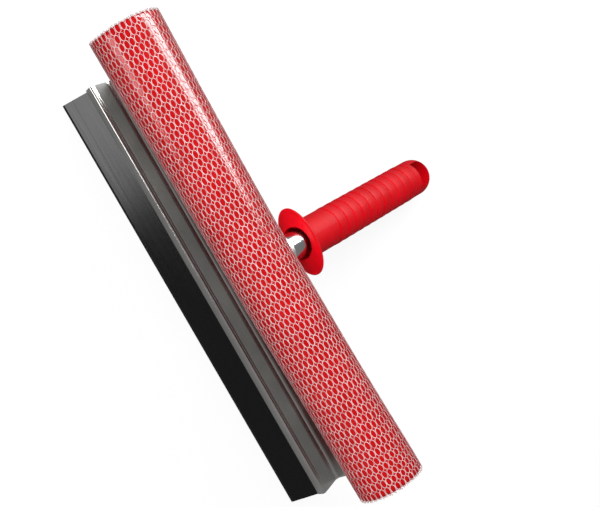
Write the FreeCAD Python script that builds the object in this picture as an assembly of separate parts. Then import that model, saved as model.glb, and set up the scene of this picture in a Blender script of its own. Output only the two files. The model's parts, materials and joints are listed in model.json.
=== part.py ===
import FreeCAD, Part
import math
import os

# Window squeegee with a net-covered foam roll, in millimetres.
# It is modelled in a working frame: X along the roll, +Y back along the handle, +Z away from the
# blade, with the origin on the roll's axis. rest_placement() then lays it down as it rests on a
# table, on the blade's edge and the end of the grip, with the origin at the bottom centre.

# Driving dimensions
BLADE_LENGTH = 350.0
ROLL_LENGTH = 365.0
FOAM_RADIUS = 24.5
NET_THICKNESS = 0.7
SHEET = 0.9                 # holder and rear jaw
TUBE_RADIUS = 11.0
TUBE_WALL = 1.2
TUBE_END_GAP = 0.5          # the leaning tube's end stays clear of the web
HANDLE_Z = -18.0            # the handle's axis lies this far from the roll's axis
HANDLE_LEAN = 1.9           # degrees that the handle leans towards +X in its socket
GUARD_Y = 64.4              # rim plane of the hand guard

# Folded holder: mid-plane of the sheet
WEB_Y = 28.2                # flat web behind the roll
WEB_TOP_Z = 3.5             # hemmed edge
HEM_DEPTH = 3.2             # ends just above the socket's foot
HEM_GAP = 0.8
VALLEY_Z = -73.5            # the sheet turns forward here
NOSE = (4.6, -67.9)         # and down over the rubber here
LIP_END = (6.4, -76.2)
VALLEY_BEND = 2.6
NOSE_BEND = 0.7
CREASE_FROM_NOSE = 3.2      # pressed line along the riser
CREASE_HALF_WIDTH = 0.8
CREASE_DEPTH = 0.25

# Rubber blade
BLADE_LEAN = 20.2           # degrees forward of square to the handle
BLADE_THICKNESS = 3.0
BLADE_REACH = 25.6          # from the lip to the working edge
BLADE_STEP = 15.4           # where the front face steps back
BLADE_STEP_DEPTH = 0.35
BLADE_EDGE = 2.2            # length of the bevel at the working edge
BEAD_RADIUS = 2.6
BEAD_BACK = 4.3             # bead centre, behind the lip's end
BLADE_EDGE_FRONT = 0.35     # the working edge's two corners, from mid-thickness
BLADE_EDGE_BACK = -1.0
BLADE_STEP_RUN = 0.3        # length of the slope at the step
CUT_SLANT = 1.9             # the strip's ends are cut this much out of square
JAW_GAP = 0.35              # between the rubber and the steel

# Rear jaw and the stop at one end of its channel; places along the rubber are from the lip
JAW_FOOT_REACH = 20.0       # how far the foot runs up the riser from the nose
JAW_BENDS = (0.5, 0.6, 0.6)
JAW_TURN = -2.9             # the jaw turns in under the bead here
JAW_NECK = -0.9             # and runs along the rubber from here
JAW_END = 2.2
JAW_END_FLARE = 0.5
END_TAB = 0.8
END_TAB_GAP = 0.3
TAB_TOP = -6.0
TAB_TOP_FRONT = -5.4
TAB_BOTTOM = -1.4
TAB_FRONT = 0.9

# Roll carrier
ROD_RADIUS = 2.2
RAIL = 1.0
RAIL_LENGTH = 345.0
RAIL_FOOT = 12.0
ROD_OVERHANG = 2.0          # the rod stands out of the rail's eye at each end
CORE_RADIUS = 6.5
SLIDE_GAP = 0.3
ROLL_OFFSET = -6.3          # where the roll was last pushed to on its rail
BINDING = 0.8

# Handle socket and rivets
COLLAR_RADIUS = 13.0
COLLAR_LENGTH = 14.4
FOOT_WIDTH = 64.0
FOOT_HEIGHT = 36.0
FOOT_THICKNESS = 1.5
FOOT_CORNER = 8.0
FLARE = 2.5                 # fillet-like cone between the foot and the collar
RIVET_RADIUS = 2.0
RIVET_HEAD = 3.6
RIVET_HEAD_HEIGHT = 1.0
SOCKET_RIVET_X = 25.0
SOCKET_RIVET_UP = 11.0      # upper and lower rows, from the handle's axis
SOCKET_RIVET_DOWN = 13.0
RAIL_RIVET_X = (-158.0, -96.0, 96.0, 158.0)
RAIL_RIVET_Z = -8.0
CROSS_RIVET_Y = 36.5
HEAD_CUT = 1.9              # the cross rivet's heads are spheres cut this far from the centre

# Grip
GRIP_RADIUS = 15.5          # at the guard
GRIP_END_RADIUS = 15.6
GROOVES = 12
FIRST_GROOVE = 32.3         # from the guard's rim plane
GROOVE_PITCH = 10.4
GROOVE_DEPTH = 0.8
GROOVE_HALF_WIDTH = 0.9
DOME_CENTRE = 161.7
GUARD_HALF_WIDTH = 27.9
GUARD_HALF_HEIGHT = 16.3
GUARD_THICKNESS = 2.2
HUB_RADIUS = 14.2
HUB_FORWARD = 3.4
MOUTH_RADIUS = 13.3         # open ring round the tube
MOUTH_DEPTH = 10.0
BORE_END = 143.0
SLOT_START = 153.0          # hang slot, D-shaped
SLOT_HALF_WIDTH = 11.2
SLOT_END = 171.1

WEB_FRONT = WEB_Y - SHEET / 2
WEB_BACK = WEB_Y + SHEET / 2
RAIL_FRONT = WEB_FRONT - RAIL


def vec(y, z, x=0.0):
    return FreeCAD.Vector(x, y, z)


def unit(v):
    return v / v.Length


def rounded_wire(points, radii):
    """Closed wire through the points, each corner rounded with its own radius."""
    edges = []
    starts, ends, middles = [], [], []
    count = len(points)
    for i, corner in enumerate(points):
        back = unit(points[i - 1] - corner)
        ahead = unit(points[(i + 1) % count] - corner)
        half = back.getAngle(ahead) / 2
        radius = radii[i]
        if radius <= 0:
            starts.append(corner)
            ends.append(corner)
            middles.append(None)
            continue
        run = radius / math.tan(half)
        centre = corner + unit(back + ahead) * (radius / math.sin(half))
        starts.append(corner + back * run)
        ends.append(corner + ahead * run)
        middles.append(centre - unit(back + ahead) * radius)
    for i in range(count):
        if middles[i] is not None:
            edges.append(Part.Arc(starts[i], middles[i], ends[i]).toShape())
        following = starts[(i + 1) % count]
        if (following - ends[i]).Length > 1e-6:
            edges.append(Part.LineSegment(ends[i], following).toShape())
    return Part.Wire(edges)


def lean_handle(shape):
    """Leans what is on the handle's axis, about the point where the axis meets the web."""
    leant = shape.copy()
    leant.rotate(vec(WEB_BACK, HANDLE_Z), vec(0, 1), -HANDLE_LEAN)
    return leant


def extrude_x(wire, start, length):
    solid = Part.Face(wire).extrude(FreeCAD.Vector(length, 0, 0))
    solid.translate(FreeCAD.Vector(start, 0, 0))
    return solid


def bent_strip(line, bends, thickness, start, length):
    """Sheet of even thickness bent along its mid-line, extruded along X.
    bends holds the inside radius at each inner point of the line."""
    sides = {1: [], -1: []}
    radii = {1: [], -1: []}
    for i, point in enumerate(line):
        into = unit(point - line[i - 1]) if i > 0 else None
        out = unit(line[i + 1] - point) if i < len(line) - 1 else None
        into = into or out
        out = out or into
        normal_in = vec(-into.z, into.y)
        normal_out = vec(-out.z, out.y)
        turn = into.y * out.z - into.z * out.y
        mitre = unit(normal_in + normal_out)
        reach = thickness / 2 / mitre.dot(normal_in)
        for side in (1, -1):
            sides[side].append(point + mitre * (reach * side))
            if i in (0, len(line) - 1):
                radii[side].append(0)
            else:
                inner = bends[i - 1]
                radii[side].append(inner if side * turn > 0 else inner + thickness)
    points = sides[1] + sides[-1][::-1]
    corners = radii[1] + radii[-1][::-1]
    return extrude_x(rounded_wire(points, corners), start, length)


def cylinder_x(radius, length, y=0.0, z=0.0, middle=0.0):
    return Part.makeCylinder(
        radius, length, vec(y, z, middle - length / 2), FreeCAD.Vector(1, 0, 0)
    )


def box(x, y, z):
    """Box between two limits on each axis."""
    corner = FreeCAD.Vector(x[0], y[0], z[0])
    return Part.makeBox(x[1] - x[0], y[1] - y[0], z[1] - z[0], corner)


def rivet(x, z, front, back):
    """Rivet along Y with a spherical cap on the faces at front and back."""
    sphere = (RIVET_HEAD**2 + RIVET_HEAD_HEIGHT**2) / (2 * RIVET_HEAD_HEIGHT)
    half = math.asin(RIVET_HEAD / sphere) / 2

    def cap(face, way):
        """Rim, point half way up and crown of one head."""
        centre = face - way * (sphere - RIVET_HEAD_HEIGHT)
        return (
            vec(face, RIVET_HEAD),
            vec(centre + way * sphere * math.cos(half), sphere * math.sin(half)),
            vec(face + way * RIVET_HEAD_HEIGHT, 0),
        )

    front_rim, front_side, front_crown = cap(front, -1)
    back_rim, back_side, back_crown = cap(back, 1)
    edges = [
        Part.Arc(front_crown, front_side, front_rim).toShape(),
        Part.LineSegment(front_rim, vec(front, RIVET_RADIUS)).toShape(),
        Part.LineSegment(vec(front, RIVET_RADIUS), vec(back, RIVET_RADIUS)).toShape(),
        Part.LineSegment(vec(back, RIVET_RADIUS), back_rim).toShape(),
        Part.Arc(back_rim, back_side, back_crown).toShape(),
        Part.LineSegment(back_crown, front_crown).toShape(),
    ]
    solid = Part.Face(Part.Wire(edges)).revolve(vec(0, 0), vec(1, 0), 360)
    solid.translate(vec(0, z, x))
    return solid


# Rubber's own directions: out towards its edge, and forward off its front face
LEAN = math.radians(BLADE_LEAN)
BLADE_OUT = vec(-math.sin(LEAN), -math.cos(LEAN))
BLADE_FRONT = vec(-math.cos(LEAN), math.sin(LEAN))


def lip_inner_end():
    along = unit(vec(*LIP_END) - vec(*NOSE))
    return vec(*LIP_END) + vec(-along.z, along.y) * (SHEET / 2)


BLADE_ROOT = lip_inner_end() - BLADE_FRONT * (JAW_GAP + BLADE_THICKNESS / 2)


def on_blade(out, front):
    """Point given by its distance past the lip and its distance in front of mid-thickness."""
    return BLADE_ROOT + BLADE_OUT * out + BLADE_FRONT * front


def holder_plate():
    back = WEB_Y + SHEET + HEM_GAP
    line = [
        vec(back, WEB_TOP_Z - HEM_DEPTH),
        vec(back, WEB_TOP_Z),
        vec(WEB_Y, WEB_TOP_Z),
        vec(WEB_Y, VALLEY_Z),
        vec(*NOSE),
        vec(*LIP_END),
    ]
    hem_bend = (HEM_GAP - 0.02) / 2
    bends = [hem_bend, hem_bend, VALLEY_BEND, NOSE_BEND]
    plate = bent_strip(line, bends, SHEET, -BLADE_LENGTH / 2, BLADE_LENGTH)
    valley = vec(WEB_Y, VALLEY_Z)
    riser = unit(valley - vec(*NOSE))
    face = vec(-riser.z, riser.y)
    at = vec(*NOSE) + riser * CREASE_FROM_NOSE + face * (SHEET / 2)
    crease = [
        at - riser * CREASE_HALF_WIDTH + face,
        at - riser * CREASE_HALF_WIDTH,
        at - face * CREASE_DEPTH,
        at + riser * CREASE_HALF_WIDTH,
        at + riser * CREASE_HALF_WIDTH + face,
    ]
    groove = extrude_x(rounded_wire(crease, [0] * len(crease)), -BLADE_LENGTH, 2 * BLADE_LENGTH)
    plate = plate.cut(groove)
    for x, z, front in socket_rivet_places() + rail_rivet_places():
        plate = plate.cut(Part.makeCylinder(RIVET_RADIUS, 4, vec(WEB_Y - 2, z, x), vec(1, 0)))
    return plate


def rear_jaw():
    """Strip welded behind the riser. It hooks behind the rubber's bead."""
    riser = unit(vec(WEB_Y, VALLEY_Z) - vec(*NOSE))
    down = vec(riser.z, -riser.y)
    offset = down * SHEET
    behind = -(BEAD_RADIUS + JAW_GAP + SHEET / 2)
    neck = -(BLADE_THICKNESS / 2 + JAW_GAP + SHEET / 2)
    start = vec(*NOSE) + riser * JAW_FOOT_REACH + offset
    # The foot's mid-line meets the line that runs down behind the bead.
    reference = vec(*NOSE) + offset
    wall = on_blade(0, behind)
    along = (wall - reference).dot(BLADE_FRONT) / riser.dot(BLADE_FRONT)
    corner = reference + riser * along
    line = [
        start,
        corner,
        on_blade(JAW_TURN, behind),
        on_blade(JAW_NECK, neck),
        on_blade(JAW_END, neck - JAW_END_FLARE),
    ]
    jaw = bent_strip(line, JAW_BENDS, SHEET, -BLADE_LENGTH / 2, BLADE_LENGTH)
    tab = [
        on_blade(TAB_TOP, behind),
        on_blade(JAW_TURN, behind),
        on_blade(TAB_BOTTOM, neck),
        on_blade(TAB_BOTTOM, TAB_FRONT),
        on_blade(TAB_TOP_FRONT, TAB_FRONT),
    ]
    stop = extrude_x(rounded_wire(tab, [0] * len(tab)), -BLADE_LENGTH / 2, END_TAB)
    return jaw.fuse(stop).removeSplitter()


def rubber_blade():
    half = BLADE_THICKNESS / 2
    stepped = half - BLADE_STEP_DEPTH
    outline = [
        on_blade(-BEAD_BACK, half),
        on_blade(BLADE_STEP, half),
        on_blade(BLADE_STEP + BLADE_STEP_RUN, stepped),
        on_blade(BLADE_REACH - BLADE_EDGE, stepped),
        on_blade(BLADE_REACH, BLADE_EDGE_FRONT),
        on_blade(BLADE_REACH, BLADE_EDGE_BACK),
        on_blade(BLADE_STEP, -half),
        on_blade(-BEAD_BACK, -half),
    ]
    radii = [0, 0.1, 0.1, 0.2, 0.1, 0.1, 0.5, 0]
    length = BLADE_LENGTH + 40
    blade = extrude_x(rounded_wire(outline, radii), -length / 2, length)
    centre = on_blade(-BEAD_BACK, 0)
    blade = blade.fuse(cylinder_x(BEAD_RADIUS, length, centre.y, centre.z))
    left = -BLADE_LENGTH / 2 + END_TAB + END_TAB_GAP
    right = BLADE_LENGTH / 2
    root, edge = -BEAD_BACK - BEAD_RADIUS - 1, BLADE_REACH + 1
    slope = CUT_SLANT / BLADE_REACH

    def corner(x, out):
        point = on_blade(out, -10)
        return FreeCAD.Vector(x - max(out, 0) * slope, point.y, point.z)

    trim = Part.makePolygon([
        corner(left, root),
        corner(right, root),
        corner(right, 0),
        corner(right, edge),
        corner(left, edge),
        corner(left, 0),
        corner(left, root),
    ])
    return blade.common(Part.Face(trim).extrude(BLADE_FRONT * 20)).removeSplitter()


def rail_rivet_places():
    return [(x, RAIL_RIVET_Z, RAIL_FRONT) for x in RAIL_RIVET_X]


def socket_rivet_places():
    """The upper pair also goes through the rail's foot."""
    sides = (-SOCKET_RIVET_X, SOCKET_RIVET_X)
    upper = [(x, HANDLE_Z + SOCKET_RIVET_UP, RAIL_FRONT) for x in sides]
    lower = [(x, HANDLE_Z - SOCKET_RIVET_DOWN, WEB_FRONT) for x in sides]
    return upper + lower


def roll_rail():
    """Steel strip on edge, rolled round the rod at one edge and turned over as a foot at the other."""
    eye = cylinder_x(ROD_RADIUS + RAIL, RAIL_LENGTH)
    leg = box(
        (-RAIL_LENGTH / 2, RAIL_LENGTH / 2), (ROD_RADIUS + RAIL / 2, WEB_FRONT), (-RAIL / 2, RAIL / 2)
    )
    foot = box(
        (-RAIL_LENGTH / 2, RAIL_LENGTH / 2), (RAIL_FRONT, WEB_FRONT), (-RAIL_FOOT, RAIL / 2)
    )
    rail = eye.fuse([leg, foot]).cut(cylinder_x(ROD_RADIUS, RAIL_LENGTH + 2))
    for x, z, front in socket_rivet_places()[:2] + rail_rivet_places():
        rail = rail.cut(Part.makeCylinder(RIVET_RADIUS, 4, vec(WEB_Y - 3, z, x), vec(1, 0)))
    return rail.removeSplitter()


def rail_rod():
    return cylinder_x(ROD_RADIUS - 0.02, RAIL_LENGTH + 2 * ROD_OVERHANG)


def roll_slit(half_width, reach):
    """Space along the roll's back that the rail stands in."""
    length = ROLL_LENGTH + 10
    return box((-length / 2, length / 2), (0, reach), (-half_width, half_width))


def roll_core():
    """Plastic tube, slit along its back, that slides over the rail's eye."""
    outer = cylinder_x(CORE_RADIUS, ROLL_LENGTH - 6)
    inner = cylinder_x(ROD_RADIUS + RAIL + SLIDE_GAP, ROLL_LENGTH)
    return outer.cut(inner).cut(roll_slit(RAIL / 2 + SLIDE_GAP, CORE_RADIUS + 1))


def foam_roll():
    solid = cylinder_x(FOAM_RADIUS, ROLL_LENGTH - 1).cut(cylinder_x(CORE_RADIUS, ROLL_LENGTH + 1))
    return solid.cut(roll_slit(RAIL / 2 + SLIDE_GAP + BINDING, FOAM_RADIUS + 1))


def net_sleeve():
    outer = cylinder_x(FOAM_RADIUS + NET_THICKNESS, ROLL_LENGTH)
    tube = outer.cut(cylinder_x(FOAM_RADIUS, ROLL_LENGTH + 2))
    return tube.cut(roll_slit(RAIL / 2 + SLIDE_GAP + BINDING, FOAM_RADIUS + 5))


def net_bindings():
    """Two tapes that the net's edges are sewn to, down both faces of the slit."""
    near, far = RAIL / 2 + SLIDE_GAP, RAIL / 2 + SLIDE_GAP + BINDING
    reach = (CORE_RADIUS + 1.0, FOAM_RADIUS + NET_THICKNESS - 0.1)
    length = (-ROLL_LENGTH / 2 + 1, ROLL_LENGTH / 2 - 1)
    return Part.makeCompound([box(length, reach, (near, far)), box(length, reach, (-far, -near))])


def tube_socket():
    foot = box(
        (-FOOT_WIDTH / 2, FOOT_WIDTH / 2),
        (WEB_BACK, WEB_BACK + FOOT_THICKNESS),
        (HANDLE_Z - FOOT_HEIGHT / 2, HANDLE_Z + FOOT_HEIGHT / 2),
    )
    corners = [e for e in foot.Edges if abs(e.tangentAt(e.FirstParameter).y) > 0.99]
    foot = foot.makeFillet(FOOT_CORNER, corners)
    collar = Part.makeCylinder(COLLAR_RADIUS, COLLAR_LENGTH, vec(WEB_BACK, HANDLE_Z), vec(1, 0))
    root = vec(WEB_BACK + FOOT_THICKNESS, HANDLE_Z)
    flare = Part.makeCone(COLLAR_RADIUS + FLARE, COLLAR_RADIUS, FLARE, root, vec(1, 0))
    socket = foot.fuse([lean_handle(collar), lean_handle(flare)])
    bore = Part.makeCylinder(TUBE_RADIUS + 0.05, 60, vec(WEB_BACK - 5, HANDLE_Z), vec(1, 0))
    socket = socket.cut(lean_handle(bore))
    behind_web = box((-FOOT_WIDTH, FOOT_WIDTH), (WEB_BACK, 60), (-FOOT_WIDTH, FOOT_WIDTH))
    socket = socket.common(behind_web)
    for x, z, front in socket_rivet_places():
        socket = socket.cut(Part.makeCylinder(RIVET_RADIUS, 9, vec(WEB_Y - 3, z, x), vec(1, 0)))
    cross_hole = lean_handle(cylinder_x(RIVET_RADIUS, 60, CROSS_RIVET_Y, HANDLE_Z))
    return socket.cut(cross_hole).removeSplitter()


def socket_rivets():
    back = WEB_BACK + FOOT_THICKNESS
    return Part.makeCompound([rivet(x, z, front, back) for x, z, front in socket_rivet_places()])


def rail_rivets():
    return Part.makeCompound([rivet(x, z, front, WEB_BACK) for x, z, front in rail_rivet_places()])


def cross_rivet():
    """Through the socket's collar and the tube."""
    pin = cylinder_x(RIVET_RADIUS - 0.02, 2 * COLLAR_RADIUS, CROSS_RIVET_Y, HANDLE_Z)
    for side in (-1, 1):
        head = Part.makeSphere(RIVET_HEAD, vec(CROSS_RIVET_Y, HANDLE_Z))
        head = head.common(
            box((HEAD_CUT, RIVET_HEAD), (0, 99), (-99, 99))
            if side > 0
            else box((-RIVET_HEAD, -HEAD_CUT), (0, 99), (-99, 99))
        )
        head.translate(FreeCAD.Vector(side * (COLLAR_RADIUS - HEAD_CUT), 0, 0))
        pin = pin.fuse(head)
    return lean_handle(pin.removeSplitter())


def handle_tube():
    start = WEB_BACK + TUBE_END_GAP
    length = GUARD_Y + BORE_END - 1.0 - start
    tube = Part.makeCylinder(TUBE_RADIUS, length, vec(start, HANDLE_Z), vec(1, 0))
    tube = tube.cut(
        Part.makeCylinder(TUBE_RADIUS - TUBE_WALL, length + 2, vec(start - 1, HANDLE_Z), vec(1, 0))
    )
    return lean_handle(tube.cut(cylinder_x(RIVET_RADIUS, 60, CROSS_RIVET_Y, HANDLE_Z)))


def grip_radius(along):
    share = along / DOME_CENTRE
    return GRIP_RADIUS + (GRIP_END_RADIUS - GRIP_RADIUS) * share


def grip():
    """One moulding: hand guard, grooved sleeve, and a domed end with a hang slot."""
    def at(along, radius):
        return FreeCAD.Vector(0, GUARD_Y + along, HANDLE_Z + radius)

    edges = [Part.LineSegment(at(0, 0), at(0, grip_radius(0))).toShape()]
    last = at(0, grip_radius(0))
    for i in range(GROOVES):
        centre = FIRST_GROOVE + i * GROOVE_PITCH
        rim_in = at(centre - GROOVE_HALF_WIDTH, grip_radius(centre))
        floor = at(centre, grip_radius(centre) - GROOVE_DEPTH)
        rim_out = at(centre + GROOVE_HALF_WIDTH, grip_radius(centre))
        if i == 0:
            edges.append(Part.LineSegment(last, rim_in).toShape())
        else:
            swell = (last + rim_in) / 2 + FreeCAD.Vector(0, 0, 0.3)
            edges.append(Part.Arc(last, swell, rim_in).toShape())
        edges.append(Part.Arc(rim_in, floor, rim_out).toShape())
        last = rim_out
    shoulder = at(DOME_CENTRE, GRIP_END_RADIUS)
    slant = GRIP_END_RADIUS / math.sqrt(2)
    edges.append(Part.LineSegment(last, shoulder).toShape())
    tip = at(DOME_CENTRE + GRIP_END_RADIUS, 0)
    edges.append(Part.Arc(shoulder, at(DOME_CENTRE + slant, slant), tip).toShape())
    edges.append(Part.LineSegment(tip, at(0, 0)).toShape())
    body = Part.Face(Part.Wire(edges)).revolve(vec(GUARD_Y, HANDLE_Z), vec(1, 0), 360)

    def oval(y):
        ellipse = Part.Ellipse(vec(0, 0), GUARD_HALF_WIDTH, GUARD_HALF_HEIGHT).toShape()
        ellipse.rotate(vec(0, 0), FreeCAD.Vector(1, 0, 0), 90)
        ellipse.translate(vec(y, HANDLE_Z))
        return Part.Wire(ellipse)

    guard = Part.Face(oval(GUARD_Y)).extrude(vec(GUARD_THICKNESS, 0))
    guard = guard.makeFillet(0.9, guard.Edges)
    hub_ring = Part.Wire(
        Part.makeCircle(HUB_RADIUS, vec(GUARD_Y - HUB_FORWARD, HANDLE_Z), vec(1, 0))
    )
    inner_ring = Part.Wire(
        Part.Ellipse(vec(0, 0), GUARD_HALF_WIDTH - 1.2, GUARD_HALF_HEIGHT - 0.9).toShape()
    )
    inner_ring.rotate(vec(0, 0), FreeCAD.Vector(1, 0, 0), 90)
    inner_ring.translate(vec(GUARD_Y + 0.1, HANDLE_Z))
    cone = Part.makeLoft([inner_ring, hub_ring], True, True)
    solid = body.fuse([guard, cone])

    bore = Part.makeCylinder(
        TUBE_RADIUS + 0.05, BORE_END + 10, vec(GUARD_Y - 10, HANDLE_Z), vec(1, 0)
    )
    mouth = Part.makeCylinder(
        MOUTH_RADIUS, MOUTH_DEPTH + 10, vec(GUARD_Y - HUB_FORWARD - 10, HANDLE_Z), vec(1, 0)
    )
    radius = SLOT_HALF_WIDTH
    turn = GUARD_Y + SLOT_END - radius
    start = GUARD_Y + SLOT_START
    low = HANDLE_Z - 30
    path = [
        Part.LineSegment(vec(turn, low, -radius), vec(start, low, -radius)).toShape(),
        Part.LineSegment(vec(start, low, -radius), vec(start, low, radius)).toShape(),
        Part.LineSegment(vec(start, low, radius), vec(turn, low, radius)).toShape(),
        Part.Arc(
            vec(turn, low, radius), vec(turn + radius, low, 0), vec(turn, low, -radius)
        ).toShape(),
    ]
    slot = Part.Face(Part.Wire(path)).extrude(vec(0, 60))
    return lean_handle(solid.cut([bore, mouth, slot]).removeSplitter())


def rest_placement(nodes):
    """Turns the squeegee about X until the blade's edge and the grip's end lie level,
    then moves its bottom centre to the origin."""
    edge = on_blade(BLADE_REACH, BLADE_EDGE_BACK)
    dome = vec(GUARD_Y + DOME_CENTRE, HANDLE_Z)
    dome.y = WEB_BACK + (dome.y - WEB_BACK) * math.cos(math.radians(HANDLE_LEAN))
    span = dome - edge
    tilt = math.atan2(span.z, span.y) - math.asin(GRIP_END_RADIUS / span.Length)
    turn = FreeCAD.Placement(
        vec(0, 0), FreeCAD.Rotation(FreeCAD.Vector(1, 0, 0), -math.degrees(tilt))
    )
    turned = Part.makeCompound(list(nodes.values())).copy()
    turned.Placement = turn
    limits = turned.optimalBoundingBox(False, False)
    shift = FreeCAD.Vector(
        -(limits.XMin + limits.XMax) / 2, -(limits.YMin + limits.YMax) / 2, -limits.ZMin
    )
    return FreeCAD.Placement(shift, turn.Rotation)


NODES = {
    "holder_plate": holder_plate,
    "rear_jaw": rear_jaw,
    "rubber_blade": rubber_blade,
    "roll_rail": roll_rail,
    "rail_rod": rail_rod,
    "rail_rivets": rail_rivets,
    "roll_core": roll_core,
    "foam_roll": foam_roll,
    "net_sleeve": net_sleeve,
    "net_bindings": net_bindings,
    "tube_socket": tube_socket,
    "socket_rivets": socket_rivets,
    "cross_rivet": cross_rivet,
    "handle_tube": handle_tube,
    "grip": grip,
}


ON_THE_ROLL = ("roll_core", "foam_roll", "net_sleeve", "net_bindings")


def main():
    os.makedirs("parts", exist_ok=True)
    shapes = {name: make() for name, make in NODES.items()}
    for name in ON_THE_ROLL:
        shapes[name].translate(FreeCAD.Vector(ROLL_OFFSET, 0, 0))
    placement = rest_placement(shapes)
    for name, shape in shapes.items():
        placed = shape.copy()
        placed.Placement = placement.multiply(placed.Placement)
        print(name, placed.ShapeType, placed.isValid(), len(placed.Solids), round(placed.Volume))
        placed.exportStep(f"parts/{name}.step")
    print("placement", placement)


main()
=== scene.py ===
import json
import math
import random

import bmesh
import bpy
from mathutils import Matrix, Quaternion, Vector


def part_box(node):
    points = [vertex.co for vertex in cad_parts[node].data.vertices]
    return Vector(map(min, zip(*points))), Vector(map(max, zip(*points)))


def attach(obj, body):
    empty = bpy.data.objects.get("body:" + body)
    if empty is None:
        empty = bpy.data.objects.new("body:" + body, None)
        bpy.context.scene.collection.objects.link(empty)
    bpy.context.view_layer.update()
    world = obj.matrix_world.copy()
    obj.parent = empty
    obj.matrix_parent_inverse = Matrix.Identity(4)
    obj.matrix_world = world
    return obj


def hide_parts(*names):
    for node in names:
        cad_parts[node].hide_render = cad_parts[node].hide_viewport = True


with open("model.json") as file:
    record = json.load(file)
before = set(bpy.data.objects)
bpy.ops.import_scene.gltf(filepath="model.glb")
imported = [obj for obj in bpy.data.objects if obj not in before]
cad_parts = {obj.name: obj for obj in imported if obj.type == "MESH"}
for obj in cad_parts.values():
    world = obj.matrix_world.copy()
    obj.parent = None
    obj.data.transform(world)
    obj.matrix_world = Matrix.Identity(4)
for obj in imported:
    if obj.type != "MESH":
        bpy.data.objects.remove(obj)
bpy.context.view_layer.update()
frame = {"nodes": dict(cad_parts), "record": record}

# Everything is in metres. MM turns the object's own millimetre sizes into metres.
MM = 0.001

# Net and foam
NET_COLUMNS = 60            # cells along the roll
NET_ROWS = 40               # cells round it, if it had no slit
NET_WRAP_ROWS = 39          # cells round it, from one edge of the slit to the other
NET_THREAD = 0.36 * MM      # height of a thread over the foam
OVAL_LONG = 0.88            # the oval hole's share of a cell, along and round the roll
OVAL_ROUND = 0.74
DIAMOND_LONG = 0.235        # half of the small diamond hole's share of a cell
DIAMOND_ROUND = 0.30
FOAM_BULGE = 0.08 * MM      # how far the foam swells through each oval
FOAM_STEPS_PER_CELL = 4
DIAMOND_CORNER = 0.42       # middle of a diamond's side, between its centre and 1; 0.5 is straight
NET_HEIGHTS = {             # heights over the foam across one thread
    "top": 0.62 * NET_THREAD,
    "ridge": NET_THREAD,
    "inside": 0.42 * NET_THREAD,
}
UNDERSIDE = 0.1             # height of a thread's underside, as a share of its top
KEY_STEPS = 1000            # corners shared by two cells are matched to a cell divided by this
CUT_ENDS_PER_CELL = 3       # cut thread ends for each cell, round both ends of the roll
CUT_END = (0.4 * MM, 1.3 * MM)  # shortest and longest cut thread end
SEED = 7

# How the roll is out of true
END_RISE = 3.2 * MM         # the right end stands away from the blade
RISE_SPAN = (-0.1, 1.1)     # where the rise starts and ends, in half lengths from the middle
MIDDLE_SAG = 0.7 * MM
LOWER_SWELL = (2.0 * MM, 0.8 * MM)  # swell of the underside at the left, less the second all along
SWELL_SPAN = (-1.1, 0.1)
RISE_BACK = 0.69            # the rise's parts along the handle and away from the blade
RISE_UP = 0.72
FREE_ANGLE = math.radians(120)      # the skin moves freely up to here
HELD_ANGLE = math.radians(172)      # and from here on the rail holds it
LEFT_END_SLANT = 0.013      # the left end is cut out of square, longer towards the blade
RIGHT_END_STRETCH = 0.007   # the right end is drawn out a little
LEFT_FLARE = (1.5 * MM, 125 * MM)   # how much fuller each end is, and over what length
RIGHT_FLARE = (0.5 * MM, 50 * MM)
DRAWN_IN = 0.25 * MM        # the most that the net draws the skin in, or lets it out
DRAWN_IN_WAVES = (31 * MM, 47 * MM)

# How the net's cells wander, in cells
WANDER_ALONG = (0.10, 0.03)
WANDER_ROUND = (0.08, 0.03)
LEAN = 0.10                 # lean for each row at the right end
LEAN_SPAN = (0.45, 0.95)    # where along the net the lean starts and is full
LEAN_ROWS = 9               # rows from the middle after which the lean grows no more
WANDER_FADE = 6             # columns at each end over which it fades out

# The foam's cut ends and slit
RIM_DROP = (0.9 * MM, 0.25 * MM)    # the skin's last two rings are lower, which rounds the edge
RIM_INSET = 0.3 * MM        # the very last ring is set in by this
FOAM_WALL_STEPS = 5

# The two binding tapes
TAPE_PAST_CORE = 1.0 * MM
TAPE_PAST_FOAM = 0.5 * MM
TAPE_FACES = (0.85 * MM, 1.5 * MM)  # distance of a tape's two faces from the slit's middle
TAPE_PUCKER = 0.07 * MM
TAPE_PUFF = 0.10 * MM
TAPE_STEPS = 180
TAPE_ROWS = 8

FLOOR_HALF_SIDE = 6.0
FLOOR_GLOW = 0.90           # the floor gives off light of its own, so that it looks evenly pale

# Camera, as an orbit round the point that it looks at
VIEW_AZIMUTH = -7.066
VIEW_ELEVATION = 60.242
VIEW_ROLL = 66.508
VIEW_DISTANCE = 0.7697
VIEW_POINT = Vector((0.0141, -0.05185, 0.07))
VIEW_LENS = 62.27           # millimetres, on a sensor 36 wide


# ---------------------------------------------------------------- the squeegee's own directions

def handle_direction():
    mount = next(m for m in frame["record"]["mounts"] if m["name"] == "bare_tube")
    return Vector(mount["axis"]).normalized()


def roll_frame():
    """X along the roll, Y back along the handle, Z away from the blade, origin on the roll's axis."""
    low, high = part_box("foam_roll")
    x = Vector((1, 0, 0))
    handle = handle_direction()
    y = (handle - x * handle.dot(x)).normalized()
    z = x.cross(y)
    turn = Matrix((x, y, z)).transposed().to_4x4()
    return Matrix.Translation((Vector(low) + Vector(high)) / 2) @ turn


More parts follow.
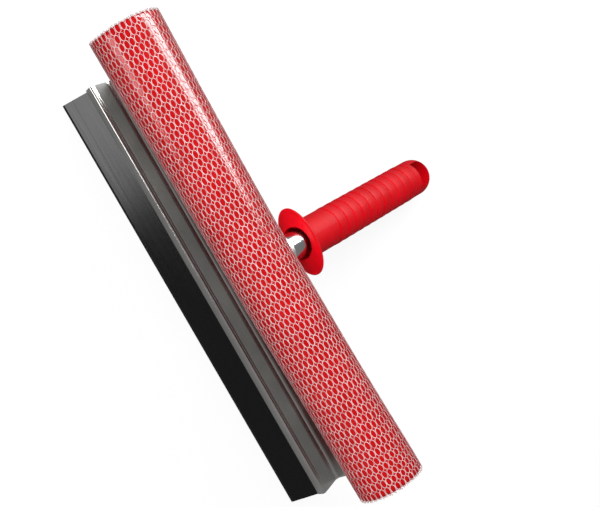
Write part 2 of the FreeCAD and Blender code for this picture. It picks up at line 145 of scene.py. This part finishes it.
ROLL = roll_frame()
FOAM_LOW, FOAM_HIGH = (Vector(corner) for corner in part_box("foam_roll"))
FOAM_RADIUS = (FOAM_HIGH.z - FOAM_LOW.z) / 2
FOAM_LENGTH = FOAM_HIGH.x - FOAM_LOW.x
NET_LOW, NET_HIGH = (Vector(corner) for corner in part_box("net_sleeve"))
NET_LENGTH = NET_HIGH.x - NET_LOW.x
CORE_LOW, CORE_HIGH = (Vector(corner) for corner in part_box("roll_core"))
CORE_RADIUS = (CORE_HIGH.z - CORE_LOW.z) / 2
SLIT_HALF = 1.6 * MM        # half the gap along the roll's back


def ease(value, start, end):
    share = min(max((value - start) / (end - start), 0.0), 1.0)
    return share * share * (3 - 2 * share)


def on_roll(x, angle, radius):
    """Point at an angle round the roll. Angle 0 is its front, and the slit is at 180 degrees.
    The soft skin sags a little in the middle and rises at the right end, away from the blade,
    but not at the slit, where the rail holds it."""
    share = x / (FOAM_LENGTH / 2)
    rise = END_RISE * ease(share, *RISE_SPAN) - MIDDLE_SAG * (1 - share * share)
    depth = (radius - CORE_RADIUS) / (FOAM_RADIUS - CORE_RADIUS)
    swell = LOWER_SWELL[0] * (1 - ease(share, *SWELL_SPAN)) - LOWER_SWELL[1]
    rise -= swell * max(-math.sin(angle), 0)
    rise *= depth * (1 - ease(abs(angle), FREE_ANGLE, HELD_ANGLE))
    back = -radius * math.cos(angle) + rise * RISE_BACK
    up = radius * math.sin(angle) + rise * RISE_UP
    return ROLL @ Vector((x, back, up))


def skin_radius(x):
    """Radius of the foam's skin: fuller at the ends, where nothing draws the net in."""
    half = FOAM_LENGTH / 2
    near_left = LEFT_FLARE[0] * (1 - ease(x + half, 0, LEFT_FLARE[1]))
    near_right = RIGHT_FLARE[0] * (1 - ease(half - x, 0, RIGHT_FLARE[1]))
    short, long = DRAWN_IN_WAVES
    drawn_in = DRAWN_IN * math.sin(x / short) * math.sin(x / long + 1)
    return FOAM_RADIUS + near_left + near_right + drawn_in


def net_drift(column, row):
    """The net's cells wander a little, and lean round the roll towards its right end. The
    waves' rates are in radians for each cell."""
    broad, fine = WANDER_ALONG
    x = broad * math.sin(row * 0.35 + column * 0.07) + fine * math.sin(row * 1.3 - column * 0.21)
    lean = LEAN * ease(column, NET_COLUMNS * LEAN_SPAN[0], NET_COLUMNS * LEAN_SPAN[1])
    broad, fine = WANDER_ROUND
    turn = broad * math.sin(column * 0.13 + row * 0.12) + fine * math.sin(column * 0.43)
    return x + lean * min(max(row - NET_ROWS / 2, -LEAN_ROWS), LEAN_ROWS), turn


# Angle of the net's edges, just clear of the slit
NET_EDGE = math.pi - math.asin((SLIT_HALF + 0.2 * MM) / FOAM_RADIUS)


def net_place(column, row):
    """Position along the roll and angle round it of a point in the net, in cells."""
    inner_x = ease(min(column, NET_COLUMNS - column), 0, WANDER_FADE)
    inner_row = min(row, NET_WRAP_ROWS - row, 1.0)
    drift_x, drift_row = net_drift(column, row)
    x = (column + drift_x * inner_x) / NET_COLUMNS - 0.5
    angle = ((row + drift_row * max(inner_row, 0)) / NET_WRAP_ROWS * 2 - 1) * NET_EDGE
    if x < 0:
        x *= 1 + LEFT_END_SLANT * max(-math.sin(angle), 0)
    else:
        x *= 1 + RIGHT_END_STRETCH
    return x * NET_LENGTH, angle


# ---------------------------------------------------------------- mesh helpers

def new_piece(name, points, faces, material, body, smooth=True):
    mesh = bpy.data.meshes.new(name)
    mesh.from_pydata([tuple(p) for p in points], [], faces)
    mesh.validate()
    mesh.update()
    piece = bpy.data.objects.new(name, mesh)
    bpy.context.scene.collection.objects.link(piece)
    mesh.polygons.foreach_set("use_smooth", [smooth] * len(mesh.polygons))
    mesh.materials.append(material)
    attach(piece, body)
    return piece


def outward(piece):
    work = bmesh.new()
    work.from_mesh(piece.data)
    bmesh.ops.recalc_face_normals(work, faces=work.faces)
    work.to_mesh(piece.data)
    work.free()


class Points:
    """Vertex list in which points with the same key are one vertex."""

    def __init__(self):
        self.places = []
        self.index = {}

    def add(self, key, place):
        if key not in self.index:
            self.index[key] = len(self.places)
            self.places.append(place)
        return self.index[key]


# ---------------------------------------------------------------- materials

class Shader:
    """Node material with a Principled surface and helpers for object-space patterns."""

    def __init__(self, name):
        self.material = bpy.data.materials.new(name)
        self.material.use_nodes = True
        self.tree = self.material.node_tree
        self.surface = self.tree.nodes["Principled BSDF"]
        self.coordinates = self.node("ShaderNodeTexCoord").outputs["Object"]

    def node(self, kind, **values):
        made = self.tree.nodes.new(kind)
        for name, value in values.items():
            setattr(made, name, value)
        return made

    def link(self, source, target):
        self.tree.links.new(source, target)

    def scaled(self, scale, turn=(0, 0, 0)):
        mapping = self.node("ShaderNodeMapping")
        mapping.inputs["Scale"].default_value = scale
        mapping.inputs["Rotation"].default_value = turn
        self.link(self.coordinates, mapping.inputs["Vector"])
        return mapping.outputs["Vector"]

    def noise(self, scale, stretch=(1, 1, 1), detail=4.0, turn=(0, 0, 0)):
        made = self.node("ShaderNodeTexNoise")
        made.inputs["Scale"].default_value = scale
        made.inputs["Detail"].default_value = detail
        self.link(self.scaled(stretch, turn), made.inputs["Vector"])
        return made.outputs["Fac"]

    def ramp(self, source, stops):
        made = self.node("ShaderNodeValToRGB")
        elements = made.color_ramp.elements
        while len(elements) < len(stops):
            elements.new(0.5)
        for element, (position, colour) in zip(elements, stops):
            element.position = position
            element.color = (*colour, 1)
        self.link(source, made.inputs["Fac"])
        return made.outputs["Color"]

    def spread(self, source, low, high, start=0.3, end=0.7):
        made = self.node("ShaderNodeMapRange")
        made.inputs["From Min"].default_value = start
        made.inputs["From Max"].default_value = end
        made.inputs["To Min"].default_value = low
        made.inputs["To Max"].default_value = high
        self.link(source, made.inputs["Value"])
        return made.outputs["Result"]

    def bump(self, source, strength, distance, after=None):
        made = self.node("ShaderNodeBump")
        made.inputs["Strength"].default_value = strength
        made.inputs["Distance"].default_value = distance
        self.link(source, made.inputs["Height"])
        if after is not None:
            self.link(after, made.inputs["Normal"])
        return made.outputs["Normal"]

    def finish(self, **values):
        for name, value in values.items():
            self.surface.inputs[name.replace("_", " ")].default_value = value
        return self.material


def steel(name, bright, rough, grain, along=(0.02, 1, 1)):
    """Rolled or plated steel with fine grain lines and faint stains."""
    s = Shader(name)
    lines = s.noise(2600, along, 3)
    stains = s.noise(38, (1, 1, 1), 5)
    dark = tuple(channel * 0.90 for channel in bright)
    light = tuple(min(1.0, channel * 1.06) for channel in bright)
    s.link(s.ramp(stains, [(0.35, dark), (0.65, light)]), s.surface.inputs["Base Color"])
    s.link(s.spread(stains, rough * 0.85, rough * 1.15), s.surface.inputs["Roughness"])
    s.link(s.bump(lines, grain, 0.05 * MM), s.surface.inputs["Normal"])
    return s.finish(Metallic=1.0)


def moulded_red():
    """Satin red plastic with a fine spark-eroded texture."""
    s = Shader("moulded_red")
    fine = s.noise(2400, (1, 1, 1), 2)
    broad = s.noise(60, (1, 1, 1), 3)
    colours = [(0.3, (0.66, 0.0004, 0.006)), (0.7, (0.76, 0.0008, 0.009))]
    s.link(s.ramp(broad, colours), s.surface.inputs["Base Color"])
    s.link(s.spread(broad, 0.50, 0.60), s.surface.inputs["Roughness"])
    s.link(s.bump(fine, 0.18, 0.05 * MM), s.surface.inputs["Normal"])
    return s.finish(Specular_IOR_Level=0.10)


def foam_skin():
    """Red foam with a smooth closed skin, finely pitted."""
    s = Shader("foam_skin")
    cells = s.node("ShaderNodeTexVoronoi")
    cells.inputs["Scale"].default_value = 1500
    s.link(s.scaled((1, 1, 1)), cells.inputs["Vector"])
    broad = s.noise(45, (1, 1, 1), 4)
    colours = [(0.3, (0.43, 0.0001, 0.002)), (0.7, (0.53, 0.0002, 0.003))]
    s.link(s.ramp(broad, colours), s.surface.inputs["Base Color"])
    s.link(s.spread(broad, 0.30, 0.42), s.surface.inputs["Roughness"])
    s.link(s.bump(cells.outputs["Distance"], 0.12, 0.08 * MM), s.surface.inputs["Normal"])
    return s.finish(Coat_Weight=0.7, Coat_Roughness=0.10, Specular_IOR_Level=0.02)


def foam_cut():
    """Cut face of the foam: open cells, with painted shade darkening each cell's pit."""
    s = Shader("foam_cut")
    cells = s.node("ShaderNodeTexVoronoi")
    cells.inputs["Scale"].default_value = 900
    s.link(s.scaled((1, 1, 1)), cells.inputs["Vector"])
    # painted shade: each open cell is dark red in its pit and lighter towards its rim
    pit_shade = [(0.0, (0.25, 0.0, 0.003)), (0.45, (0.66, 0.004, 0.012))]
    s.link(s.ramp(cells.outputs["Distance"], pit_shade), s.surface.inputs["Base Color"])
    s.link(s.bump(cells.outputs["Distance"], 0.8, 0.4 * MM), s.surface.inputs["Normal"])
    return s.finish(Roughness=0.9)


def net_thread():
    """Knitted thread with a fine twist, pinkish white, with painted shade in dark red down its sides,
    joins and underside.
    """
    s = Shader("net_thread")
    twist = s.node("ShaderNodeTexWave")
    twist.inputs["Scale"].default_value = 900
    twist.inputs["Distortion"].default_value = 3.0
    s.link(s.scaled((1, 0.6, 0.6)), twist.inputs["Vector"])
    tint = s.noise(260, (1, 1, 1), 3)
    tone = s.node("ShaderNodeAttribute", attribute_name="thread_painted_shade")
    height = s.node("ShaderNodeMath", operation="ADD")
    s.link(tone.outputs["Fac"], height.inputs[0])
    s.link(s.spread(tint, -0.15, 0.15), height.inputs[1])
    # dark red is painted shade on the thread's sides, joins and underside; pinkish white is the
    # thread's own colour
    colours = [(0.50, (0.40, 0.001, 0.006)), (0.86, (0.97, 0.83, 0.83))]
    s.link(s.ramp(height.outputs[0], colours), s.surface.inputs["Base Color"])
    s.link(s.spread(tint, 0.32, 0.45), s.surface.inputs["Roughness"])
    s.link(s.bump(twist.outputs["Fac"], 0.06, 0.05 * MM), s.surface.inputs["Normal"])
    return s.finish(Coat_Weight=0.5, Coat_Roughness=0.16, Specular_IOR_Level=0.02)


def tape_weave():
    """Cream woven tape."""
    s = Shader("tape_weave")
    weave = s.node("ShaderNodeTexWave")
    weave.inputs["Scale"].default_value = 700
    s.link(s.scaled((1, 1, 1)), weave.inputs["Vector"])
    tint = s.noise(120, (1, 1, 1), 3)
    colours = [(0.3, (0.70, 0.58, 0.55)), (0.7, (0.84, 0.74, 0.71))]
    s.link(s.ramp(tint, colours), s.surface.inputs["Base Color"])
    s.link(s.bump(weave.outputs["Fac"], 0.5, 0.1 * MM), s.surface.inputs["Normal"])
    return s.finish(Roughness=0.85)


def blade_rubber():
    """Black moulded rubber, semi-gloss, with dust and fine lines along its length."""
    s = Shader("blade_rubber")
    dust = s.noise(900, (1, 1, 1), 5)
    lines = s.noise(1500, (0.01, 1, 1), 2)
    colours = [(0.45, (0.0015, 0.0015, 0.0018)), (0.85, (0.006, 0.0055, 0.0055))]
    s.link(s.ramp(dust, colours), s.surface.inputs["Base Color"])
    s.link(s.spread(lines, 0.14, 0.22), s.surface.inputs["Roughness"])
    s.link(s.bump(lines, 0.04, 0.05 * MM), s.surface.inputs["Normal"])
    return s.finish(Specular_IOR_Level=0.36)


def core_plastic():
    """Pale extruded plastic with lines along it."""
    s = Shader("core_plastic")
    lines = s.noise(1600, (0.01, 1, 1), 2)
    colours = [(0.3, (0.66, 0.65, 0.62)), (0.7, (0.76, 0.75, 0.72))]
    s.link(s.ramp(lines, colours), s.surface.inputs["Base Color"])
    s.link(s.bump(lines, 0.2, 0.05 * MM), s.surface.inputs["Normal"])
    return s.finish(Roughness=0.45)


def finish_cad_nodes():
    holder = steel("holder_steel", (0.68, 0.67, 0.65), 0.24, 0.20)
    rail = steel("rail_steel", (0.60, 0.60, 0.58), 0.42, 0.25)
    socket = steel("socket_steel", (0.66, 0.66, 0.65), 0.32, 0.10, (1, 1, 1))
    rivets = steel("rivet_steel", (0.60, 0.60, 0.59), 0.28, 0.10, (1, 1, 1))
    tube = steel("tube_chrome", (0.66, 0.66, 0.67), 0.13, 0.05, (1, 0.05, 0.05))
    finishes = {
        "holder_plate": holder,
        "rear_jaw": holder,
        "roll_rail": rail,
        "rail_rod": rail,
        "rail_rivets": rivets,
        "socket_rivets": rivets,
        "cross_rivet": rivets,
        "tube_socket": socket,
        "handle_tube": tube,
        "roll_core": core_plastic(),
        "rubber_blade": blade_rubber(),
        "grip": moulded_red(),
    }
    for name, material in finishes.items():
        node = frame["nodes"][name]
        node.data.materials.clear()
        node.data.materials.append(material)


# ---------------------------------------------------------------- foam roll

def foam():
    """Closed foam body: outer skin, two cut ends, bore and slit."""
    length_steps = NET_COLUMNS * FOAM_STEPS_PER_CELL
    round_steps = NET_WRAP_ROWS * FOAM_STEPS_PER_CELL
    points = []
    half = FOAM_LENGTH / 2
    wall_steps = FOAM_WALL_STEPS
    for i in range(length_steps + 1):
        column = i / FOAM_STEPS_PER_CELL
        end = min(i, length_steps - i)
        rim = RIM_DROP[end] if end < len(RIM_DROP) else 0.0
        for j in range(round_steps + 1):
            row = j / FOAM_STEPS_PER_CELL
            x, angle = net_place(column, row)
            if end == 0:
                x -= math.copysign(RIM_INSET, x)
            bulge = abs(math.sin(math.pi * column) * math.sin(math.pi * row)) * FOAM_BULGE
            points.append(on_roll(x, angle, skin_radius(x) + bulge - rim))
        x = -half + FOAM_LENGTH * i / length_steps
        bore_edge = math.pi - math.asin(SLIT_HALF / CORE_RADIUS)
        for k in range(1, wall_steps):
            radius = FOAM_RADIUS + (CORE_RADIUS - FOAM_RADIUS) * k / wall_steps
            points.append(on_roll(x, math.pi - math.asin(SLIT_HALF / radius), radius))
        for j in range(round_steps, -1, -1):
            angle = (j / round_steps * 2 - 1) * bore_edge
            points.append(on_roll(x, angle, CORE_RADIUS))
        for k in range(wall_steps - 1, 0, -1):
            radius = FOAM_RADIUS + (CORE_RADIUS - FOAM_RADIUS) * k / wall_steps
            points.append(on_roll(x, math.asin(SLIT_HALF / radius) - math.pi, radius))
    ring = 2 * (round_steps + 1) + 2 * (wall_steps - 1)
    faces = []
    cut = []
    for i in range(length_steps):
        for j in range(ring):
            near, far = i * ring, (i + 1) * ring
            after = (j + 1) % ring
            faces.append((near + j, near + after, far + after, far + j))
            cut.append(j >= round_steps)
    for start in (0, length_steps * ring):
        loop = [start + j for j in range(ring)]
        inner = [loop[round_steps + wall_steps + round_steps - j] for j in range(round_steps + 1)]
        for j in range(round_steps):
            faces.append((loop[j], loop[j + 1], inner[j + 1], inner[j]))
            cut.append(True)
        first_wall = loop[round_steps:round_steps + wall_steps + 1]
        last_wall = [loop[0]] + loop[:-wall_steps:-1] + [loop[round_steps * 2 + wall_steps]]
        faces.append(tuple(first_wall))
        faces.append(tuple(last_wall))
        cut += [True, True]
    piece = new_piece("foam_body", points, faces, foam_skin(), "roll")
    piece.data.materials.append(foam_cut())
    piece.data.polygons.foreach_set("material_index", [int(c) for c in cut])
    outward(piece)
    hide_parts("foam_roll")


# ---------------------------------------------------------------- net

def cell_outline():
    """Points round one cell, from its middle, in cells: straight sides with the diamonds cut off."""
    x, y = 0.5 - DIAMOND_LONG, 0.5 - DIAMOND_ROUND
    corner = (0.5 - DIAMOND_LONG * DIAMOND_CORNER, 0.5 - DIAMOND_ROUND * DIAMOND_CORNER)
    quarter = [(0.5, 0.0), (0.5, y), corner, (x, 0.5)]
    top = quarter + [(0.0, 0.5)]
    left = [(-px, py) for px, py in reversed(quarter)]
    upper = top + left
    lower = [(-px, -py) for px, py in upper[1:-1]]
    return upper + lower


# How pale each part of a thread is: 0 is dark red and 1 is white. The thread itself is pinkish white;
# the dark red of its sides, joins and underside is painted shade
THREAD_SHADE_TONES = {"top": 0.1, "ridge": 1.0, "inside": 0.15, "under": 0.0, "stub": 0.6}


def add_cut_end(points, faces, spot, column, row, way):
    """One thread end left by the cut across the net: a thin spike that stands off the edge."""
    row += random.uniform(-0.1, 0.1)
    length = random.uniform(*CUT_END)
    half = random.uniform(0.07, 0.13)
    base = [
        points.add(("stub", way, row, 0), spot(column, row - half, 0.2 * NET_THREAD)),
        points.add(("stub", way, row, 1), spot(column, row + half, 0.2 * NET_THREAD)),
        points.add(("stub", way, row, 2), spot(column, row, 1.0 * NET_THREAD)),
    ]
    lift = random.uniform(-0.5, 1.5) * NET_THREAD
    tip = spot(column, row + random.uniform(-0.25, 0.25), lift) + Vector((way * length, 0, 0))
    tip = points.add(("stub", way, row, 3), tip)
    faces.append(tuple(base))
    for k in range(3):
        faces.append((base[k], base[(k + 1) % 3], tip))


def net():
    """Knitted net: a ring of thread round each oval, joined to its neighbours, with small
    diamonds left open at the corners."""
    outline = cell_outline()
    count = len(outline)
    points = Points()
    faces = []

    def spot(column, row, height):
        x, angle = net_place(column, row)
        return on_roll(x, angle, skin_radius(x) + height)

    for column in range(NET_COLUMNS):
        for row in range(NET_WRAP_ROWS):
            rings = {"top": [], "ridge": [], "inside": [], "under": []}
            for number, (px, py) in enumerate(outline):
                turn = math.atan2(py, px)
                oval = (OVAL_LONG / 2 * math.cos(turn), OVAL_ROUND / 2 * math.sin(turn))
                middle = ((px + oval[0]) / 2, (py + oval[1]) / 2)
                edge_column, edge_row = column + 0.5 + px, row + 0.5 + py
                shared = (round(edge_column * KEY_STEPS), round(edge_row * KEY_STEPS))
                own = (column, row, number)
                height = NET_HEIGHTS["top"]
                rings["top"].append(
                    points.add(("top", *shared), spot(edge_column, edge_row, height))
                )
                rings["under"].append(
                    points.add(("under", *shared), spot(edge_column, edge_row, UNDERSIDE * height))
                )
                where = (column + 0.5 + middle[0], row + 0.5 + middle[1])
                rings["ridge"].append(
                    points.add(("ridge", *own), spot(*where, NET_HEIGHTS["ridge"]))
                )
                where = (column + 0.5 + oval[0], row + 0.5 + oval[1])
                rings["inside"].append(
                    points.add(("inside", *own), spot(*where, NET_HEIGHTS["inside"]))
                )
            for k in range(count):
                n = (k + 1) % count
                for outer, inner in (("top", "ridge"), ("ridge", "inside"), ("inside", "under")):
                    a, b = rings[outer], rings[inner]
                    faces.append((a[k], a[n], b[n], b[k]))
                (ax, ay), (bx, by) = outline[k], outline[n]
                on_side = abs(ax) == 0.5 and ax == bx or abs(ay) == 0.5 and ay == by
                at_end = column == 0 and ax == bx == -0.5
                at_end |= column == NET_COLUMNS - 1 and ax == bx == 0.5
                at_end |= row == 0 and ay == by == -0.5
                at_end |= row == NET_WRAP_ROWS - 1 and ay == by == 0.5
                if at_end or not on_side:
                    top, under = rings["top"], rings["under"]
                    faces.append((top[k], top[n], under[n], under[k]))
    for column, way in ((0, -1), (NET_COLUMNS, 1)):
        for number in range(1, CUT_ENDS_PER_CELL * NET_WRAP_ROWS):
            add_cut_end(points, faces, spot, column, number / CUT_ENDS_PER_CELL, way)
    piece = new_piece("net_knit", points.places, faces, net_thread(), "roll")
    outward(piece)
    # painted shade: each thread's sides, joins and underside are dark red, and its ridge is pinkish
    # white
    tone = piece.data.attributes.new("thread_painted_shade", "FLOAT", "POINT")
    tone.data.foreach_set("value", [THREAD_SHADE_TONES[key[0]] for key in points.index])
    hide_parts("net_sleeve")


def bindings():
    """Two woven tapes down the slit's walls, puckered a little towards the skin."""
    node_low, node_high = (Vector(corner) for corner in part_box("net_bindings"))
    length = node_high.x - node_low.x
    steps, rows = TAPE_STEPS, TAPE_ROWS
    inner, outer = CORE_RADIUS + TAPE_PAST_CORE, FOAM_RADIUS + TAPE_PAST_FOAM
    points, faces = [], []
    for side in (-1, 1):
        start = len(points)
        for i in range(steps + 1):
            x = (i / steps - 0.5) * length
            for layer, across in enumerate(TAPE_FACES):
                for k in range(rows + 1):
                    depth = inner + (outer - inner) * k / rows
                    pucker = TAPE_PUCKER * math.sin(i * 1.7 + side) * (k / rows)
                    puffed = 0.0 if k in (0, rows) else TAPE_PUFF
                    point = Vector((x, depth, side * (across + pucker * layer + puffed * layer)))
                    points.append(ROLL @ point)
        ring = 2 * (rows + 1)
        order = list(range(rows + 1)) + list(range(ring - 1, rows, -1))
        for i in range(steps):
            for k in range(ring):
                a, b = order[k], order[(k + 1) % ring]
                near, far = start + i * ring, start + (i + 1) * ring
                faces.append((near + a, near + b, far + b, far + a))
        for end in (0, steps):
            for k in range(rows):
                base = start + end * ring
                faces.append((base + k, base + k + 1, base + rows + 2 + k, base + rows + 1 + k))
    piece = new_piece("binding_tapes", points, faces, tape_weave(), "roll")
    outward(piece)
    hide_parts("net_bindings")


# ---------------------------------------------------------------- studio

def floor():
    """Plain floor. Reflections and bounced light don't see it."""
    side = FLOOR_HALF_SIDE
    mesh = bpy.data.meshes.new("floor")
    corners = [(-side, -side, 0), (side, -side, 0), (side, side, 0), (-side, side, 0)]
    mesh.from_pydata(corners, [], [(0, 1, 2, 3)])
    piece = bpy.data.objects.new("floor", mesh)
    bpy.context.scene.collection.objects.link(piece)
    s = Shader("floor_paper")
    tone = s.noise(3, (1, 1, 1), 2)
    s.link(s.ramp(tone, [(0.3, (0.07, 0.07, 0.07)), (0.7, (0.08, 0.08, 0.08))]),
           s.surface.inputs["Base Color"])
    mesh.materials.append(s.finish(Roughness=0.9, Emission_Color=(1, 1, 1, 1),
                                   Emission_Strength=FLOOR_GLOW))
    piece.visible_glossy = False
    piece.visible_diffuse = False


def softbox(name, place, target, size, power, turn=0):
    """Rectangular light aimed at a point; power is in watts and turn in degrees."""
    light = bpy.data.lights.new(name, "AREA")
    light.shape = "RECTANGLE"
    light.size, light.size_y = size
    light.energy = power
    lamp = bpy.data.objects.new(name, light)
    lamp.location = place
    lamp.rotation_mode = "QUATERNION"
    aim = (Vector(target) - Vector(place)).to_track_quat("-Z", "Y")
    lamp.rotation_quaternion = aim @ Quaternion((0, 0, 1), math.radians(turn))
    bpy.context.scene.collection.objects.link(lamp)
    return lamp


def studio():
    scene = bpy.context.scene
    scene.view_settings.view_transform = "Standard"
    world = bpy.data.worlds.new("studio")
    world.use_nodes = True
    world.node_tree.nodes["Background"].inputs["Color"].default_value = (1, 1, 1, 1)
    world.node_tree.nodes["Background"].inputs["Strength"].default_value = 0.24
    scene.world = world
    floor()
    middle = (0, -0.05, 0.05)
    back = softbox("back_strip", (-0.53, 0.60, 0.74), (-0.15, -0.09, 0.1), (1.0, 0.52), 40)
    side = softbox("back_panel", (-0.60, 0.76, 0.33), (0.0, -0.05, 0.07), (0.44, 0.5), 1.5)
    overhead = softbox("overhead", (-0.45, -0.25, 1.3), middle, (0.9, 0.9), 18.5)
    fill = softbox("fill", (0.2, -1.2, 0.75), middle, (0.9, 0.9), 6)
    low = softbox("front_low", (-0.40, -1.36, 0.20), (-0.1, -0.1, 0.03), (0.38, 0.42), 3.0, 30)
    for light in (overhead, fill):
        light.visible_glossy = False
    for light in (back, side, low):
        light.visible_diffuse = False


def camera():
    azimuth, elevation = math.radians(VIEW_AZIMUTH), math.radians(VIEW_ELEVATION)
    back = Vector((
        math.sin(azimuth) * math.cos(elevation),
        -math.cos(azimuth) * math.cos(elevation),
        math.sin(elevation),
    ))
    right = Vector((math.cos(azimuth), math.sin(azimuth), 0))
    up = back.cross(right)
    roll = math.radians(VIEW_ROLL)
    turned_right = right * math.cos(roll) + up * math.sin(roll)
    turned_up = up * math.cos(roll) - right * math.sin(roll)
    data = bpy.data.cameras.new("camera")
    data.lens = VIEW_LENS
    data.sensor_width = 36
    data.clip_start, data.clip_end = 0.01, 50
    view = bpy.data.objects.new("camera", data)
    turn = Matrix((turned_right, turned_up, back)).transposed().to_4x4()
    view.matrix_world = Matrix.Translation(VIEW_POINT + back * VIEW_DISTANCE) @ turn
    bpy.context.scene.collection.objects.link(view)
    bpy.context.scene.camera = view


random.seed(SEED)           # the cut thread ends are the only random part
finish_cad_nodes()
foam()
net()
bindings()
studio()
camera()
